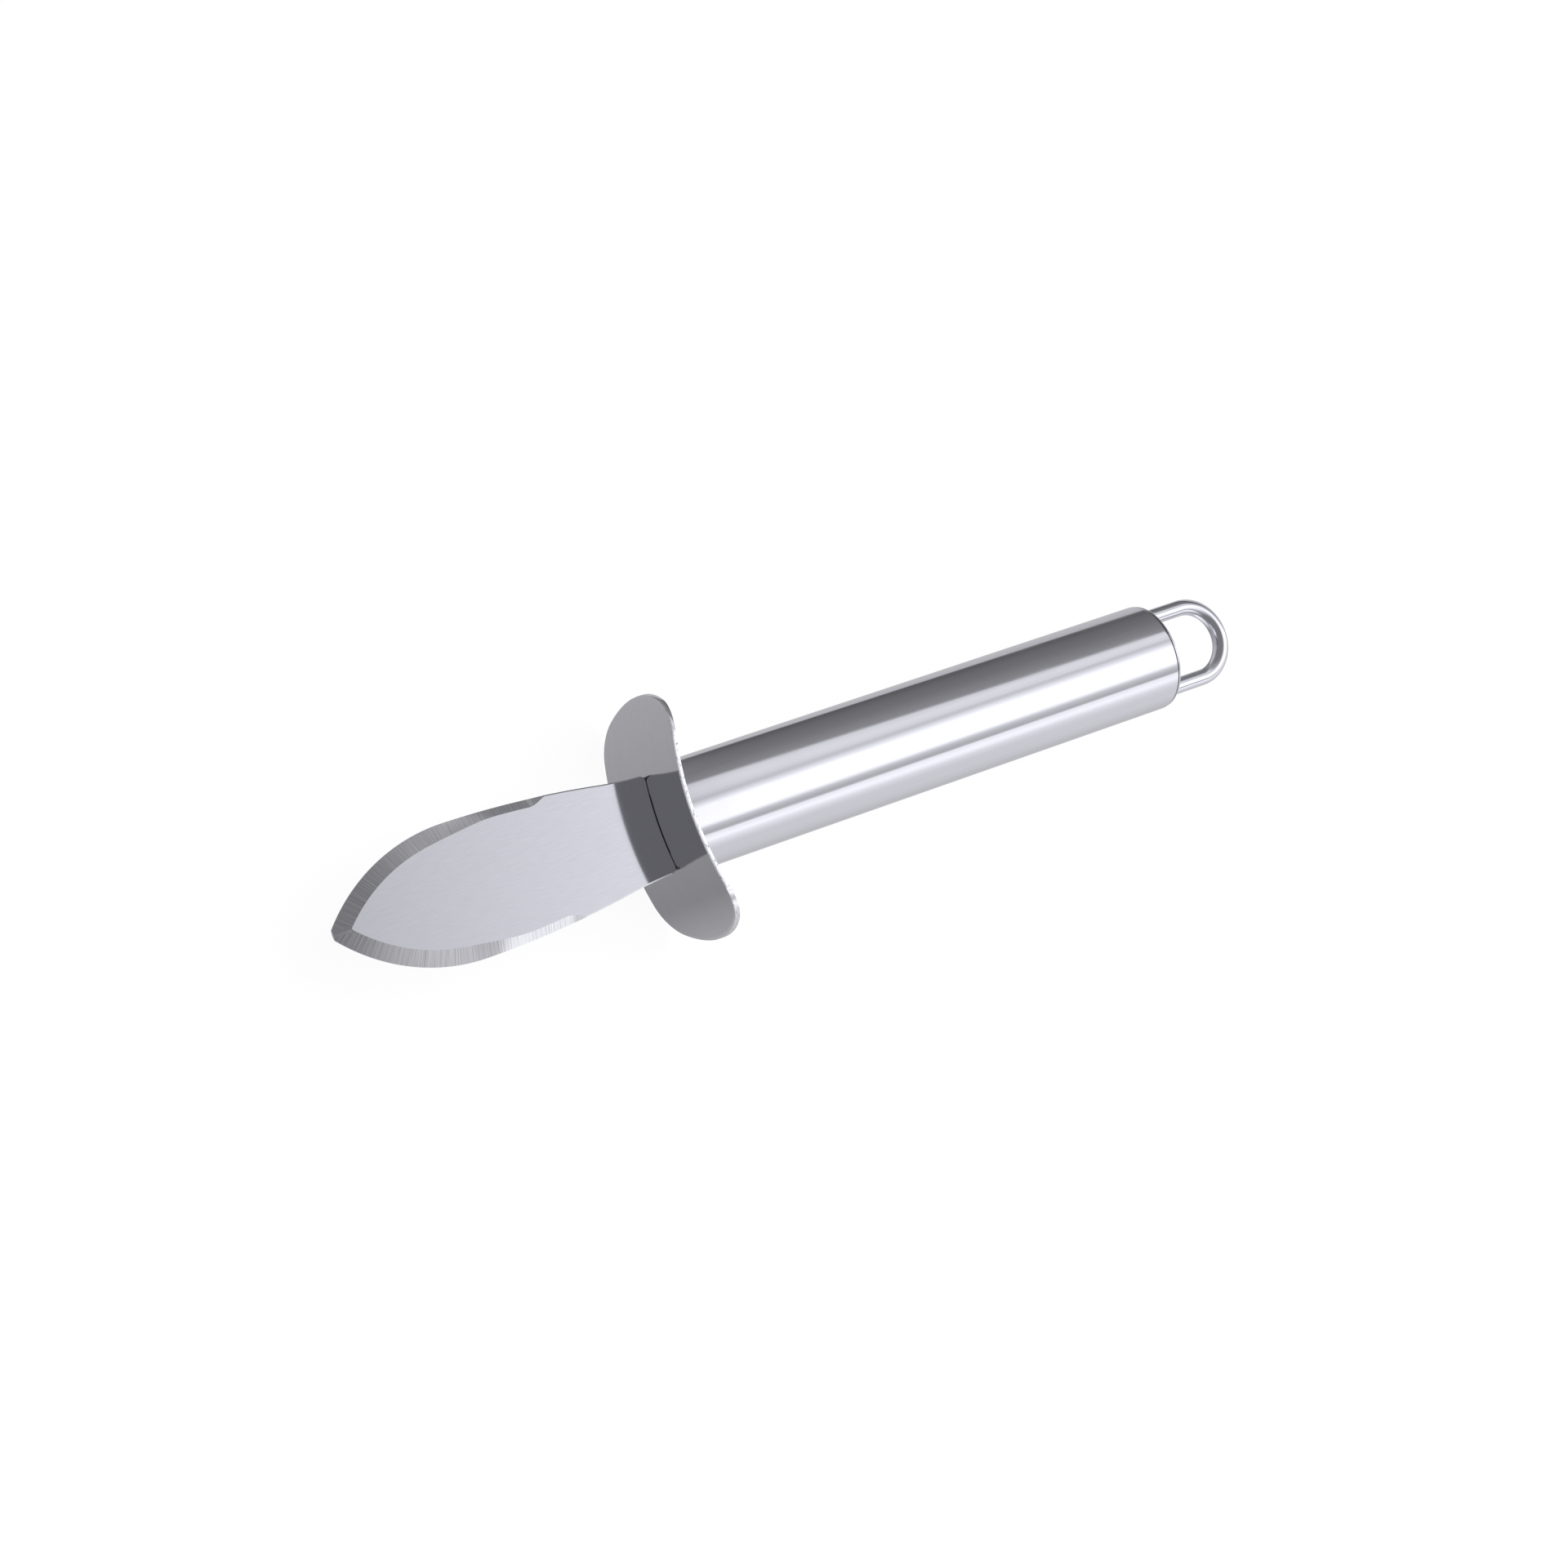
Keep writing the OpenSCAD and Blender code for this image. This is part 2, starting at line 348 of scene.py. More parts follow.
def captured(tree, geometry, values, kind="FLOAT", domain="POINT"):
    """Keeps values on a geometry as they are at this place in the tree. Returns it, and them by name."""
    node = tree.nodes.new("GeometryNodeCaptureAttribute")
    node.domain = domain
    for label in values:
        node.capture_items.new(kind, label)
    plug(tree, geometry, node.inputs["Geometry"])
    for label, value in values.items():
        plug(tree, value, node.inputs[label])
    return node.outputs["Geometry"], {label: node.outputs[label] for label in values}


def with_flow(tree, geometry, name, flow):
    """Stores a flow on the points, by a name that the materials read."""
    links = [("Geometry", geometry), ("Name", name), ("Value", flow)]
    return node_of(tree, "GeometryNodeStoreNamedAttribute", links,
                   data_type="FLOAT_VECTOR", domain="POINT").outputs[0]


def crisp_from(tree, geometry, degrees):
    """Smooth shading, with edges that bend by more than an angle kept crisp."""
    smooth = node_of(tree, "GeometryNodeSetShadeSmooth", [("Geometry", geometry)])
    bend = tree.nodes.new("GeometryNodeInputMeshEdgeAngle").outputs["Unsigned Angle"]
    links = [("Geometry", smooth.outputs[0]),
             ("Selection", Number(tree, bend) > math.radians(degrees)),
             ("Shade Smooth", False)]
    return node_of(tree, "GeometryNodeSetShadeSmooth", links, domain="EDGE").outputs[0]


def finish_tree(tree, geometry, materials, output):
    """Ends a tree: real geometry, then each material on its own faces."""
    last = node_of(tree, "GeometryNodeRealizeInstances", [("Geometry", geometry)]).outputs[0]
    for material, selection in materials:
        links = [("Geometry", last), ("Material", material)]
        if selection is not None:
            links.append(("Selection", selection))
        last = node_of(tree, "GeometryNodeSetMaterial", links).outputs[0]
    tree.links.new(last, output.inputs["Geometry"])


def numbered_grid(tree, rows, columns):
    """A flat grid. Returns it, its points' rows and columns, and its faces' rows and columns.

    Columns are counted from the middle, and those of the points have a side, as a sign."""
    grid = node_of(tree, "GeometryNodeMeshGrid",
                   [("Size X", 1.0), ("Size Y", 1.0), ("Vertices X", rows), ("Vertices Y", columns)])
    grid_x, grid_y, _ = split(tree, tree.nodes.new("GeometryNodeInputPosition").outputs[0])
    row = (0.5 - grid_x) * (rows - 1.0)
    column = grid_y * (columns - 1.0)
    geometry, face = captured(tree, grid.outputs["Mesh"], {"Row": row, "Column": column.size()},
                              domain="FACE")
    of_points = row.whole(), column.whole()
    of_faces = Number(tree, face["Row"]), Number(tree, face["Column"])
    return geometry, of_points, of_faces


def from_guard(get, row):
    """A row's distance from the guard. The rows are closer at both ends of the blade."""
    along = (row - 1.0).share(0.0, get["Rows"] - 3.0)
    crowd = get["Crowding at the ends"]
    spread = along - crowd * (along * (2 * math.pi)).sine() / (2 * math.pi)
    start = get["First row"]
    return start + (get["Length"] - start) * spread


def blade_outline(get, s, past):
    """The outline at a distance s from the guard, which lies past the widest place by past.

    A belly arc and a heel arc touch at the widest place. Returns the belly's arc and the arc
    that holds here, each as a radius and its centre's place across, and the edge."""
    belly = get["Belly"]
    half_w, half_neck, half_tip = get["Width"] / 2.0, get["Neck width"] / 2.0, get["Tip width"] / 2.0
    run, drop = get["Length"] - belly, half_w - half_tip
    belly_r = (run * run + drop * drop) / (2.0 * drop)
    heel_drop = half_w - half_neck
    heel_r = (belly * belly + heel_drop * heel_drop) / (2.0 * heel_drop)
    belly_centre, heel_centre = half_w - belly_r, half_w - heel_r
    in_front = past > 0.0
    arc_r = pick(in_front, belly_r, heel_r)
    arc_centre = pick(in_front, belly_centre, heel_centre)
    flaring = (1.0 - s / get["Flare length"]).most(0.0)
    outline = arc_centre + (arc_r * arc_r - past * past).root() + get["Neck flare"] * flaring * flaring
    corner_r = get["Shoulder radius"]
    into_corner = (get["First row"] + corner_r - s).most(0.0)
    edge_y = outline - pick(into_corner > 0.0,
                            corner_r - (corner_r * corner_r - into_corner * into_corner).root(), 0.0)
    return (belly_r, belly_centre), (arc_r, arc_centre), edge_y


def ground_bevel(get, s):
    """The bevel's width as ground, full round the front and slim along the heel, and what shows
    of it after its run-out, which is never less than a broken edge."""
    slimming = ease(s, get["Bevel slim at"], get["Bevel wide at"])
    running_out = ease(s, get["Bevel end at"], get["Bevel end at"] + get["Run-out"])
    ground_width = get["Heel bevel"] + (get["Bevel"] - get["Heel bevel"]) * slimming
    return ground_width, (ground_width * running_out).most(get["Broken edge"])


def both_sides(tree, skin):
    """A skin, and the same one turned over below it, closed along their shared edges."""
    under = node_of(tree, "GeometryNodeTransform", [("Geometry", skin), ("Scale", (1.0, 1.0, -1.0))])
    under = node_of(tree, "GeometryNodeFlipFaces", [("Mesh", under.outputs[0])])
    both = tree.nodes.new("GeometryNodeJoinGeometry")
    tree.links.new(skin, both.inputs[0])
    tree.links.new(under.outputs[0], both.inputs[0])
    return node_of(tree, "GeometryNodeMergeByDistance",
                   [("Geometry", both.outputs[0]), ("Distance", 0.002 * MM)]).outputs[0]


def blade_tree(inputs):
    """The ground leaf blade, as a skin over its outline.

    Rows run from the guard to the tip and columns from edge to edge. Each point's place is worked
    out from the outline's two arcs a side and the bevel's width there."""
    tree, get, output = new_tree("leaf_blade_rule", inputs)
    rows, start = get["Rows"], get["First row"]
    flat_columns, bevel_columns = get["Flat columns"], get["Bevel columns"]
    grid, (row, column), (face_row, face_column) = numbered_grid(tree, rows, get["Columns"])
    inside = (row > 0.5) * (row < rows - 1.5)
    s = from_guard(get, row)
    past = s - get["Belly"]
    (belly_r, belly_centre), (arc_r, arc_centre), edge_y = blade_outline(get, s, past)
    ground_width, bevel = ground_bevel(get, s)

    # Round the front, the flat ends in an arc about the belly's centre
    wide = s > get["Bevel wide at"]
    inner_r = belly_r - get["Bevel"]
    front_flat_y = (belly_centre + (inner_r * inner_r - past * past).root()).most(0.0)
    flat_y = pick(wide, front_flat_y, edge_y - bevel)

    # Place across the blade: the flat, the bevel, and the wall down to the middle plane
    side, across = column.sign(), column.size()
    on_flat = across.share(0.0, flat_columns)
    on_bevel = across.share(flat_columns, flat_columns + bevel_columns)
    y = flat_y * on_flat + (edge_y - flat_y) * on_bevel
    from_centre = y - belly_centre
    depth = pick(wide, belly_r - (past * past + from_centre * from_centre).root(), edge_y - y)
    half_t, half_land = get["Thickness"] / 2.0, get["Edge land"] / 2.0
    slope = (half_t - half_land) / ground_width
    z = (half_t - slope * (bevel - depth)).least(half_t).most(half_land)
    broken = (get["Rear corner"] - (s - start)).most(0.0)
    on_skin = across < flat_columns + bevel_columns + 0.5
    z = (z - broken) * on_skin * inside

    # The rear face follows the guard's bend
    bend_r = get["Guard bend"]
    sag = bend_r - (bend_r * bend_r - y * y).root()
    edge_sag = bend_r - (bend_r * bend_r - edge_y * edge_y).root()
    cope = 1.0 - s.share(start, start + get["Cope length"])
    x = (sag - edge_sag) * cope - s

    # Flow of the grind: distance along the edge, distance in from it, and height. The two edges
    # are set apart, so that their lines do not mirror each other.
    turn = past.angle_to(y - arc_centre)
    edges_apart = 200 * MM
    flow = joined(tree, arc_r * turn + side * edges_apart, depth, z)
    marked = with_flow(tree, grid, "grind_flow", flow)
    skin = node_of(tree, "GeometryNodeSetPosition",
                   [("Geometry", marked), ("Position", joined(tree, x, y * side, z))]).outputs[0]
    placed = node_of(tree, "GeometryNodeTransform",
                     [("Geometry", both_sides(tree, skin)),
                      ("Translation", joined(tree, get["Guard place"], 0.0, get["Axis height"]))])

    body = (face_row > 1.0) * (face_row < rows - 2.0)
    ground = body * (face_column > flat_columns) * (face_column < flat_columns + bevel_columns)
    wall = (1.0 - body).most(face_column > flat_columns + bevel_columns)
    finish_tree(tree, crisp_from(tree, placed.outputs[0], 7.0),
                [(get["Flat steel"], None), (get["Bevel steel"], ground), (get["Edge steel"], wall)],
                output)
    return tree


def blade_start():
    """Where the neck's corners stand on the guard, which bends away from the blade."""
    half_neck = NECK_W / 2 + NECK_FLARE - SHOULDER_R
    return SEAT_GAP - (GUARD_BEND_R - math.sqrt(GUARD_BEND_R**2 - half_neck**2))


def make_blade(flat, bevel, edge):
    """The blade in front of the guard, both sides."""
    flat_columns, bevel_columns = 14, 6
    inputs = {
        "Length": BLADE_LEN, "Width": BLADE_W, "Belly": BELLY, "Neck width": NECK_W,
        "Tip width": TIP_W, "Thickness": BLADE_T, "Edge land": EDGE_LAND,
        "Shoulder radius": SHOULDER_R, "Bevel": BEVEL_W, "Heel bevel": HEEL_BEVEL_W,
        "Bevel wide at": BEVEL_WIDE_AT, "Bevel slim at": BEVEL_SLIM_AT,
        "Bevel end at": BEVEL_END_AT, "Run-out": RUNOUT_LEN, "Broken edge": BROKEN_EDGE,
        "Rear corner": REAR_CORNER, "Neck flare": NECK_FLARE, "Flare length": FLARE_LEN,
        "Guard bend": GUARD_BEND_R, "Cope length": COPE_LEN, "First row": blade_start(),
        "Crowding at the ends": 0.85, "Guard place": GUARD_X, "Axis height": AXIS_Z,
        "Rows": 300, "Columns": 2 * (flat_columns + bevel_columns + 1) + 1,
        "Flat columns": flat_columns, "Bevel columns": bevel_columns,
        "Flat steel": flat, "Bevel steel": bevel, "Edge steel": edge}
    mesh = grown(blade_tree(inputs), inputs, "blade_skin")
    new_piece("leaf_blade", mesh, "blade")


def make_tang(material):
    """The tang, a flat bar with cut corners. It is what the blade's node holds behind the guard."""
    back = blade_high.x
    half_w, half_t = TANG_W / 2, TANG_T / 2
    outline = [(GUARD_X, -half_w), (back - TANG_CHAMFER, -half_w), (back, -half_w + TANG_CHAMFER),
               (back, half_w - TANG_CHAMFER), (back - TANG_CHAMFER, half_w), (GUARD_X, half_w)]
    corners = [(x, y, AXIS_Z + z) for z in (-half_t, half_t) for x, y in outline]
    mesh = shaded(bar("tang_bar", corners, len(outline)), sharp_from=30)
    mesh.materials.append(material)
    new_piece("blade_tang", mesh, "blade")


# The guard

def guard_rows():
    """Heights from the guard's middle, and how far the plate reaches sideways at each.

    Each end is one wide arc between two corner arcs, which it meets without a break."""
    corner_z = GUARD_H / 2 - GUARD_CORNER_R
    end_centre = GUARD_L / 2 - GUARD_END_R
    corner_y = end_centre + math.sqrt((GUARD_END_R - GUARD_CORNER_R) ** 2 - corner_z**2)
    touch = math.degrees(math.asin(corner_z / (GUARD_END_R - GUARD_CORNER_R)))
    slot_top = TANG_T / 2 + TANG_FIT
    first = math.degrees(math.asin(slot_top / GUARD_END_R))
    end_arc = arc((end_centre, 0), GUARD_END_R, first, touch, steps=8)
    corner_arc = arc((corner_y, corner_z), GUARD_CORNER_R, touch, 90, steps=24)
    upper = [(z, y) for y, z in end_arc + corner_arc[1:]]
    return [(-z, y) for z, y in reversed(upper)] + upper


def guard_columns():
    """Shares of the way across: fixed places out to the guard's straight part, then up to its end."""
    slot_steps, middle_steps, end_steps = 8, 6, 16
    slot_y = TANG_W / 2 + TANG_FIT
    straight = 10 * MM
    near = [slot_y * i / slot_steps for i in range(1, slot_steps)]
    middle = [slot_y + (straight - slot_y) * i / middle_steps for i in range(middle_steps + 1)]
    half = [(y, 0.0) for y in near + middle]
    half += [(straight, i / end_steps) for i in range(1, end_steps + 1)]
    mirrored = [(-1, y, share) for y, share in reversed(half)]
    return mirrored + [(1, 0.0, 0.0)] + [(1, y, share) for y, share in half]


def make_guard(face_steel, edge_steel):
    """The bent plate: a front and a back skin, a rim round them and a slot for the tang."""
    columns = guard_columns()
    rows = guard_rows()
    slot_y = TANG_W / 2 + TANG_FIT
    slot_z = TANG_T / 2 + TANG_FIT
    corners = []
    for bend_r in (GUARD_BEND_R, GUARD_BEND_R - GUARD_T):
        for side, y_in, share in columns:
            for z, reach in rows:
                y = side * (y_in + (reach - y_in) * share)
                x = GUARD_X + GUARD_BEND_R - math.sqrt(bend_r**2 - y**2)
                corners.append((x, y, AXIS_Z + z))
    n_rows, n_columns = len(rows), len(columns)
    back = n_rows * n_columns

    def at(i, j, skin):
        return i * n_rows + j + skin * back

    def is_slot(i, j):
        middle_y = (columns[i][0] * columns[i][1] + columns[i + 1][0] * columns[i + 1][1]) / 2
        middle_z = (rows[j][0] + rows[j + 1][0]) / 2
        return columns[i][2] == 0 and abs(middle_y) < slot_y and abs(middle_z) < slot_z

    def is_plate(i, j):
        inside = 0 <= i < n_columns - 1 and 0 <= j < n_rows - 1
        return inside and not is_slot(i, j)

    faces = []
    walls = []
    for i in range(n_columns - 1):
        for j in range(n_rows - 1):
            if not is_plate(i, j):
                continue
            ring = [(i, j), (i + 1, j), (i + 1, j + 1), (i, j + 1)]
            faces.append([at(*c, 1) for c in ring])
            faces.append([at(*c, 0) for c in reversed(ring)])
            beside = [(i, j - 1), (i + 1, j), (i, j + 1), (i - 1, j)]
            for k, (bi, bj) in enumerate(beside):
                if not is_plate(bi, bj):
                    a, b = ring[k], ring[(k + 1) % 4]
                    walls.append([at(*b, 1), at(*a, 1), at(*a, 0), at(*b, 0)])
    mesh = mesh_of("guard_plate", corners, faces + walls)
    for face in mesh.polygons[len(faces):]:
        face.material_index = 1
    mesh.materials.append(face_steel)
    mesh.materials.append(edge_steel)
    mesh = shaded(mesh, sharp_from=40)
    thing = working_object(mesh)
    rounding = thing.modifiers.new("broken edges", "BEVEL")
    rounding.width = GUARD_EDGE_ROUND
    rounding.segments = 3
    rounding.limit_method = "ANGLE"
    rounding.angle_limit = math.radians(50)
    rounding.material = 1
    mesh = shaded(baked(thing, "guard_plate_rounded"), sharp_from=60)
    new_piece("bent_guard", mesh, "guard")


# Tube, cap and loop

def make_tube(material):
    """The handle's tube, with both ends' outer corners rounded."""
    x0, x1 = tube_low.x, tube_high.x
    front = arc((x0 + TUBE_ROUND, TUBE_R - TUBE_ROUND), TUBE_ROUND, 180, 90, steps=4)
    rear = arc((x1 - TUBE_ROUND, TUBE_R - TUBE_ROUND), TUBE_ROUND, 90, 0, steps=4)
    # A ring beside each round keeps the long wall's shading straight
    held = [(x0 + 2 * TUBE_ROUND, TUBE_R), (x1 - 2 * TUBE_ROUND, TUBE_R)]
    profile = [(x0, BORE_R)] + front + held + rear + [(x1, BORE_R)]
    mesh = shaded(turned("tube", profile, hollow=True), sharp_from=40)
    mesh.materials.append(material)
    new_piece("grip_tube", mesh, "handle_tube")


def leg_drill(y):
    """A bar that cuts one leg's hole through the cap."""
    r = WIRE_R + LEG_FIT
    overrun = 1 * MM
    front = circle(cap_low.x - overrun, y, r, WIRE_STEPS)
    back = circle(cap_high.x + overrun, y, r, WIRE_STEPS)
    return working_object(bar("drill", front + back, WIRE_STEPS))


def make_cap(material):
    """The rear cap: a spigot, and a rim with a round edge behind the tube's end."""
    seat = cap_high.x - RIM_H + SEAT_GAP
    edge = arc((cap_high.x - RIM_ROUND, RIM_R - RIM_ROUND), RIM_ROUND, 90, 0, steps=6)
    profile = [(cap_low.x, 0), (cap_low.x, SPIGOT_R), (seat, SPIGOT_R), (seat, RIM_R)]
    profile += edge + [(cap_high.x, 0)]
    mesh = turned("cap", profile, hollow=False)
    mesh.materials.append(material)
    thing = working_object(mesh)
    drills = [leg_drill(y) for y in (-LEG_Y, LEG_Y)]
    for drill in drills:
        cut = thing.modifiers.new("leg hole", "BOOLEAN")
        cut.operation = "DIFFERENCE"
        cut.solver = "EXACT"
        cut.object = drill
    mesh = shaded(baked(thing, "cap_drilled"), sharp_from=30)
    for drill in drills:
        bpy.data.objects.remove(drill)
    new_piece("end_cap", mesh, "rear_cap")


def loop_tree(inputs):
    """Wire along two straight legs and the half circle between them."""
    tree, get, output = new_tree("wire_loop_rule", inputs)
    line = node_of(tree, "GeometryNodeCurvePrimitiveLine", [("End", (1.0, 0.0, 0.0))])
    points = node_of(tree, "GeometryNodeResampleCurve",
                     [("Curve", line.outputs[0]), ("Count", get["Points"])])
    share = Number(tree, tree.nodes.new("GeometryNodeSplineParameter").outputs["Factor"])
    bend_r, leg = get["Bend radius"], get["Leg length"]
    bend_length = bend_r * math.pi
    gone = share * (2.0 * leg + bend_length)
    turn = (gone - leg).most(0.0).least(bend_length) / bend_r
    first_leg = (leg - gone).most(0.0)
    last_leg = (gone - leg - bend_length).most(0.0)
    x = get["Bend centre"] + bend_r * turn.sine() - first_leg - last_leg
    y = bend_r * turn.cosine() * -1.0
    moved = node_of(tree, "GeometryNodeSetPosition",
                    [("Geometry", points.outputs[0]), ("Position", joined(tree, x, y, get["Axis height"]))])
    flat = node_of(tree, "GeometryNodeSetCurveNormal", [("Curve", moved.outputs[0])], mode="Z_UP")
    route, on_route = captured(tree, flat.outputs[0], {"Along": gone})
    circle_line = node_of(tree, "GeometryNodeCurvePrimitiveCircle",
                          [("Resolution", get["Sides"]), ("Radius", get["Wire radius"])])
    place = tree.nodes.new("GeometryNodeInputPosition").outputs[0]
    ring, on_ring = captured(tree, circle_line.outputs[0], {"Ring": place}, kind="VECTOR")
    wire = node_of(tree, "GeometryNodeCurveToMesh",
                   [("Curve", route), ("Profile Curve", ring), ("Fill Caps", True)])
    ring_x, ring_y, _ = split(tree, on_ring["Ring"])
    # Flow of the drawing: distance along the wire, and the place on its section
    flow = joined(tree, on_route["Along"], ring_x, ring_y)
    marked = with_flow(tree, wire.outputs[0], "wire_flow", flow)
    finish_tree(tree, crisp_from(tree, marked, 40.0), [(get["Wire steel"], None)], output)
    return tree


def make_loop(material):
    """The wire loop, from its legs' ends inside the cap."""
    bend_centre = loop_high.x - WIRE_R - LEG_Y
    inputs = {
        "Wire radius": WIRE_R, "Bend radius": LEG_Y, "Bend centre": bend_centre,
        "Leg length": bend_centre - loop_low.x, "Axis height": AXIS_Z,
        "Points": 240, "Sides": WIRE_STEPS, "Wire steel": material}
    mesh = grown(loop_tree(inputs), inputs, "wire")
    new_piece("wire_loop", mesh, "hanging_loop")


# Shader node groups, shared by the steels

def shader_group(name, inputs, outputs):
    """An empty shader node group with named inputs and outputs."""
    group = bpy.data.node_groups.new(name, "ShaderNodeTree")
    for label, value in inputs.items():
        kind = "NodeSocketVector" if value is None else "NodeSocketFloat"
        socket = group.interface.new_socket(label, in_out="INPUT", socket_type=kind)
        if value is not None:
            socket.default_value = value
    for label in outputs:
        group.interface.new_socket(label, in_out="OUTPUT", socket_type="NodeSocketFloat")
    start = group.nodes.new("NodeGroupInput")
    numbers = {label: Number(group, start.outputs[label]) for label in inputs}
    return group, numbers, group.nodes.new("NodeGroupOutput")


def noise(tree, x, y, z, detail, roughness):
    """Noise with grains one unit across, at three numbers in place of a position."""
    links = [("Vector", joined(tree, x, y, z)), ("Scale", 1.0), ("Detail", detail), ("Roughness", roughness)]
    return Number(tree, node_of(tree, "ShaderNodeTexNoise", links).outputs[0])


def fine_lines_group():
    """Fine lines that run along the flow's first axis: a tone for colour and gloss, and a height."""
    inputs = {"Flow": None, "Line spacing": 0.3 * MM, "Line length": 12 * MM, "Contrast": 2.0,
              "Broad share": 0.35}
    group, get, output = shader_group("fine_lines", inputs, ["Tone", "Height"])
    along, across, around = split(group, get["Flow"].socket)
    spacing, length = get["Line spacing"], get["Line length"]
    close = noise(group, along / length, across / spacing, around / spacing, 2.0, 0.55)
    # Broad streaks, a few times as wide and as long as the lines
    broad_spacing, broad_length = spacing * 7.0, length * 4.0
    broad = noise(group, along / broad_length, across / broad_spacing, around / broad_spacing, 2.0, 0.5)
    share = get["Broad share"]
    mixed = close * (1.0 - share) + broad * share
    tone = ((mixed - 0.5) * get["Contrast"] + 0.5).most(0.0).least(1.0)
    plug(group, tone, output.inputs["Tone"])
    plug(group, close, output.inputs["Height"])
    return group


def handling_group():
    """Faint marks of use: soft smears and a few short scratches."""
    inputs = {"Position": None, "Smear size": 14 * MM, "Amount": 0.5}
    group, get, output = shader_group("handling_marks", inputs, ["Marks"])
    x, y, z = split(group, get["Position"].socket)
    size = get["Smear size"]
    smears = noise(group, x / size, y / size, z / size, 3.0, 0.5).share(0.48, 0.72)
    # A scratch is a long thin grain that slants a little from the knife's length
    scratch_length, scratch_depth, slant = size * 0.5, size * 0.12, 0.35
    scratch_width = scratch_depth * 0.25
    hairs = noise(group, x / scratch_length, (y + x * slant) / scratch_width, z / scratch_depth, 1.0, 0.4)
    scratches = hairs.share(0.70, 0.76)
    smear_weight, scratch_weight = 0.7, 0.5
    marks = (smears * smear_weight + scratches * scratch_weight) * get["Amount"]
    plug(group, marks, output.inputs["Marks"])
    return group


def seam_and_shade_group():
    """The dark line where two pieces meet, or painted shade where it is wide beside the guard: 1 at the
    joint, and gone at a width from it.
    """
    inputs = {"Distance": 0.0, "Width": 0.2 * MM, "Position": None}
    group, get, output = shader_group("seam_and_shade_line", inputs, ["Line"])
    x, y, z = split(group, get["Position"].socket)
    grain = 0.5 * MM
    ragged = noise(group, x / grain, y / grain, z / grain, 2.0, 0.6)
    reach = get["Width"] * (0.75 + ragged * 0.5)
    # Full to nearly half way, then it fades
    full_share = 0.45
    line = 1.0 - (get["Distance"].size() / reach).share(full_share, 1.0)
    plug(group, line, output.inputs["Line"])
    return group


FINE_LINES = fine_lines_group()
HANDLING = handling_group()
SEAM = seam_and_shade_group()


# Materials

def colour(red, green, blue):
    return (red, green, blue, 1.0)


# Dark colour for joints' dark lines, and for the painted shade on the blade beside the guard
JOINT_AND_SHADE_COLOUR = colour(0.10, 0.10, 0.11)
# How much rougher marks of use, and a joint's dark line or painted shade, are
MARK_ROUGHNESS = 0.1
SEAM_ROUGHNESS = 0.3
# Width of the painted shade that darkens the blade beside the guard's bent face, where shade falls by the
# joint
GUARD_SHADE_WIDTH = 1.3 * MM


class Steel:
    """A steel's node material, with a place for every group and blend that it needs."""

    def __init__(self, name):
        self.material = bpy.data.materials.new(name)
        self.material.use_nodes = True
        self.tree = self.material.node_tree
        self.shader = self.tree.nodes["Principled BSDF"]
        self.shader.inputs["Metallic"].default_value = 1.0
        self.place = self.tree.nodes.new("ShaderNodeTexCoord").outputs["Object"]

    def group(self, group, **values):
        """Places a shared group and fills its inputs, with _ for a space in their names."""
        node = self.tree.nodes.new("ShaderNodeGroup")
        node.node_tree = group
        for label, value in values.items():
            plug(self.tree, value, node.inputs[label.replace("_", " ")])
        return node

    def centred(self, order):
        """Object coordinates about the knife's axis, in the order that a flow takes them."""
        x, y, z = split(self.tree, self.place)
        parts = {"x": x, "y": y, "z": z - AXIS_Z}
        return joined(self.tree, *[parts[letter] for letter in order])

    def attribute(self, name):
        """A flow that the mesh carries."""
        node = self.tree.nodes.new("ShaderNodeAttribute")
        node.attribute_name = name
        return node.outputs["Vector"]

    def blend(self, factor, low, high):
        """A colour between two, by a factor."""
        # A colour mix has its two colours in the seventh and eighth sockets
        links = [(0, factor), (6, low), (7, high)]
        return node_of(self.tree, "ShaderNodeMix", links, data_type="RGBA").outputs[2]

    def darkened(self, shade, distance, width):
        """A colour with a joint's dark line or painted shade in it, and the line itself."""
        line = self.group(SEAM, Distance=distance, Width=width, Position=self.place).outputs["Line"]
        return self.blend(line, shade, JOINT_AND_SHADE_COLOUR), Number(self.tree, line)

    def finish(self, shade, roughness, height, depth):
        """Colour, roughness, and a bump of a depth in metres."""
        plug(self.tree, shade, self.shader.inputs["Base Color"])
        plug(self.tree, roughness, self.shader.inputs["Roughness"])
        bump = node_of(self.tree, "ShaderNodeBump",
                       [("Strength", 1.0), ("Distance", depth), ("Height", height)])
        self.tree.links.new(bump.outputs[0], self.shader.inputs["Normal"])
        return self.material


